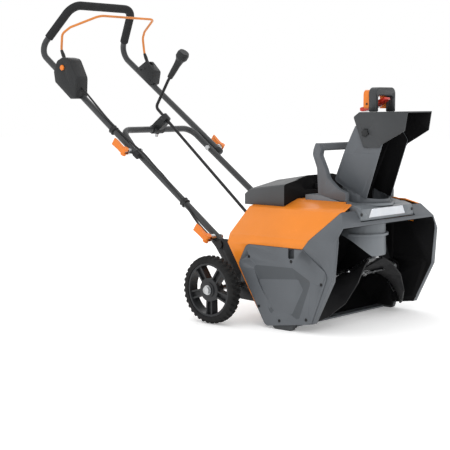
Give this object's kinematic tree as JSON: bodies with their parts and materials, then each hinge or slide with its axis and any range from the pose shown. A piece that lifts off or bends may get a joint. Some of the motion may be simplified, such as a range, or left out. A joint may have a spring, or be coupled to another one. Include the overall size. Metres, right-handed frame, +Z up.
{
  "type": "single stage snowblower",
  "caption": "Walk-behind electric single stage snowblower with turning chute, tilting hood, rubber auger, two wheels and a folding tube handle.",
  "frame": {"origin": "centre of the whole machine's footprint on the ground, under the middle of its bounding box", "axes": "+Z up, +Y towards the operator, the auger opening faces -Y, +X to the operator's left when standing behind it and facing the auger"},
  "size_m": [0.69, 1.3966, 0.983],
  "materials": {
    "grey_shell": "fine texture",
    "pale_grey_shell": "fine texture",
    "orange_shell": "satin gloss",
    "orange_trim": "satin gloss",
    "dark_plastic": "fine texture",
    "hood_grey": "fine texture",
    "red_plastic": "gloss",
    "dark_tube": "semi gloss powder coat",
    "black_steel": "satin powder coat",
    "orange_wire": "gloss powder coat",
    "bright_steel": "zinc plated",
    "rubber_blade": "matte",
    "tyre_rubber": "matte",
    "foam": "soft matte",
    "led_lens": "clear ribbed",
    "circuit": "white board with lamps",
    "rim_plastic": "fine texture"
  },
  "bodies": {
    "root": {"auger_housing": "grey_shell", "discharge_duct": "pale_grey_shell", "side_cover_left": "grey_shell", "side_cover_right": "grey_shell", "skid_shoes": "hood_grey", "scraper_bar": "grey_shell", "rear_shroud": "orange_shell", "top_deck": "pale_grey_shell", "carry_handle": "grey_shell", "headlight_lens": "led_lens", "headlight_board": "circuit", "lid_hinges": "bright_steel", "battery_tub": "dark_plastic", "battery_pack": "dark_plastic", "motor_stator": "black_steel", "drive_belt": "rubber_blade", "auger_bearings": "bright_steel", "motor_controller": "dark_plastic", "turn_cable_sheath": "dark_plastic", "turn_gearbox": "dark_plastic", "wheel_axle": "bright_steel", "axle_brackets": "black_steel", "body_screws": "black_steel", "rod_flex_coupling": "rubber_blade"},
    "battery_lid": {"battery_lid": "grey_shell"},
    "lid_latch": {"lid_latch": "dark_plastic"},
    "motor_rotor": {"motor_rotor": "bright_steel"},
    "auger": {"auger_frame": "bright_steel", "auger_blades": "rubber_blade", "auger_pulley": "dark_plastic", "blade_bolts": "bright_steel"},
    "chute": {"chute_ring": "pale_grey_shell", "chute_body": "grey_shell"},
    "hood": {"chute_hood": "hood_grey", "hood_handle": "hood_grey", "hood_handle_trim": "orange_trim", "hood_pins": "bright_steel"},
    "trigger": {"hood_trigger": "red_plastic"},
    "turn_pinion": {"turn_pinion": "dark_plastic"},
    "wheel_left": {"rim_left": "rim_plastic", "tyre_left": "tyre_rubber"},
    "wheel_right": {"rim_right": "rim_plastic", "tyre_right": "tyre_rubber"},
    "lower_handle": {"lower_handle": "dark_tube", "handle_bolts": "bright_steel", "rod_guide": "dark_plastic", "cable_lower": "dark_plastic"},
    "upper_handle": {"upper_handle": "dark_tube", "foam_grip": "foam", "switch_box": "dark_plastic", "bail_pivot_box": "dark_plastic", "cable_upper": "dark_plastic"},
    "lower_lever_left": {"lower_lever_left": "orange_trim"},
    "lower_lever_right": {"lower_lever_right": "orange_trim"},
    "mid_lever_left": {"mid_lever_left": "orange_trim"},
    "mid_lever_right": {"mid_lever_right": "orange_trim"},
    "bail": {"bail": "orange_wire"},
    "start_button": {"start_button": "orange_trim"},
    "crank": {"crank_rod": "black_steel", "crank_grip": "dark_plastic"}
  },
  "joints": [
    {"name": "auger_spin", "type": "hinge", "parent": "root", "child": "auger", "pos_m": [0, -0.462, 0.132], "axis": [1, 0, 0], "continuous": true},
    {"name": "motor_spin", "type": "hinge", "parent": "root", "child": "motor_rotor", "pos_m": [-0.2, -0.303, 0.197], "axis": [1, 0, 0], "continuous": true},
    {"name": "left_wheel_spin", "type": "hinge", "parent": "root", "child": "wheel_left", "pos_m": [0.319, -0.209, 0.1], "axis": [1, 0, 0], "continuous": true},
    {"name": "right_wheel_spin", "type": "hinge", "parent": "root", "child": "wheel_right", "pos_m": [-0.319, -0.209, 0.1], "axis": [1, 0, 0], "continuous": true},
    {"name": "chute_turn", "type": "hinge", "parent": "root", "child": "chute", "pos_m": [0, -0.527, 0.35], "axis": [0, 0, 1], "range_deg": [-90, 90]},
    {"name": "pinion_turn", "type": "hinge", "parent": "root", "child": "turn_pinion", "pos_m": [0, -0.443, 0.334], "axis": [0, 0, 1], "range_deg": [-275, 275]},
    {"name": "crank_turn", "type": "hinge", "parent": "lower_handle", "child": "crank", "pos_m": [0, 0.286, 0.5875], "axis": [0, 0.7716, 0.6361], "range_deg": [-92, 92]},
    {"name": "hood_tilt", "type": "hinge", "parent": "chute", "child": "hood", "pos_m": [0, -0.5685, 0.5555], "axis": [1, 0, 0], "range_deg": [0, 40]},
    {"name": "trigger_pull", "type": "hinge", "parent": "hood", "child": "trigger", "pos_m": [0, -0.557, 0.637], "axis": [1, 0, 0], "range_deg": [0, 10], "stiffness_Nm_per_rad": 0.4, "springref_deg": -17.19},
    {"name": "lower_fold", "type": "hinge", "parent": "root", "child": "lower_handle", "pos_m": [0, -0.129, 0.214], "axis": [1, 0, 0], "range_deg": [0, 60], "deforming": ["rod_flex_coupling", "cable_lower"]},
    {"name": "upper_fold", "type": "hinge", "parent": "lower_handle", "child": "upper_handle", "pos_m": [0, 0.243, 0.4855], "axis": [-1, 0, 0], "range_deg": [-120, 0], "deforming": ["cable_upper"]},
    {"name": "lower_lever_left_open", "type": "hinge", "parent": "lower_handle", "child": "lower_lever_left", "pos_m": [0.2215, -0.1027, 0.2329], "axis": [0, 0.5878, -0.809], "range_deg": [0, 90]},
    {"name": "lower_lever_right_open", "type": "hinge", "parent": "lower_handle", "child": "lower_lever_right", "pos_m": [-0.2215, -0.1027, 0.2329], "axis": [0, -0.5878, 0.809], "range_deg": [0, 90]},
    {"name": "mid_lever_left_open", "type": "hinge", "parent": "lower_handle", "child": "mid_lever_left", "pos_m": [0.2315, 0.243, 0.4855], "axis": [0, 0.5878, -0.809], "range_deg": [0, 90]},
    {"name": "mid_lever_right_open", "type": "hinge", "parent": "lower_handle", "child": "mid_lever_right", "pos_m": [-0.2315, 0.243, 0.4855], "axis": [0, -0.5878, 0.809], "range_deg": [0, 90]},
    {"name": "bail_pull", "type": "hinge", "parent": "upper_handle", "child": "bail", "pos_m": [0, 0.544, 0.738], "axis": [-1, 0, 0], "range_deg": [0, 28], "stiffness_Nm_per_rad": 1.5, "springref_deg": -28.65},
    {"name": "start_press", "type": "slide", "parent": "upper_handle", "child": "start_button", "axis": [1, 0, 0], "range_m": [0, 0.003], "stiffness_N_per_m": 400, "springref_m": -0.003},
    {"name": "lid_swing", "type": "hinge", "parent": "root", "child": "battery_lid", "pos_m": [0, -0.218, 0.366], "axis": [1, 0, 0], "range_deg": [-95, 0]},
    {"name": "latch_press", "type": "slide", "parent": "battery_lid", "child": "lid_latch", "axis": [0, 1, 0], "range_m": [0, 0.003], "stiffness_N_per_m": 400, "springref_m": -0.003}
  ],
  "couplings": [
    {"joint": "motor_spin", "follows": "auger_spin", "ratio": 4.4286},
    {"joint": "pinion_turn", "follows": "chute_turn", "ratio": -3},
    {"joint": "crank_turn", "follows": "chute_turn", "ratio": 1}
  ]
}
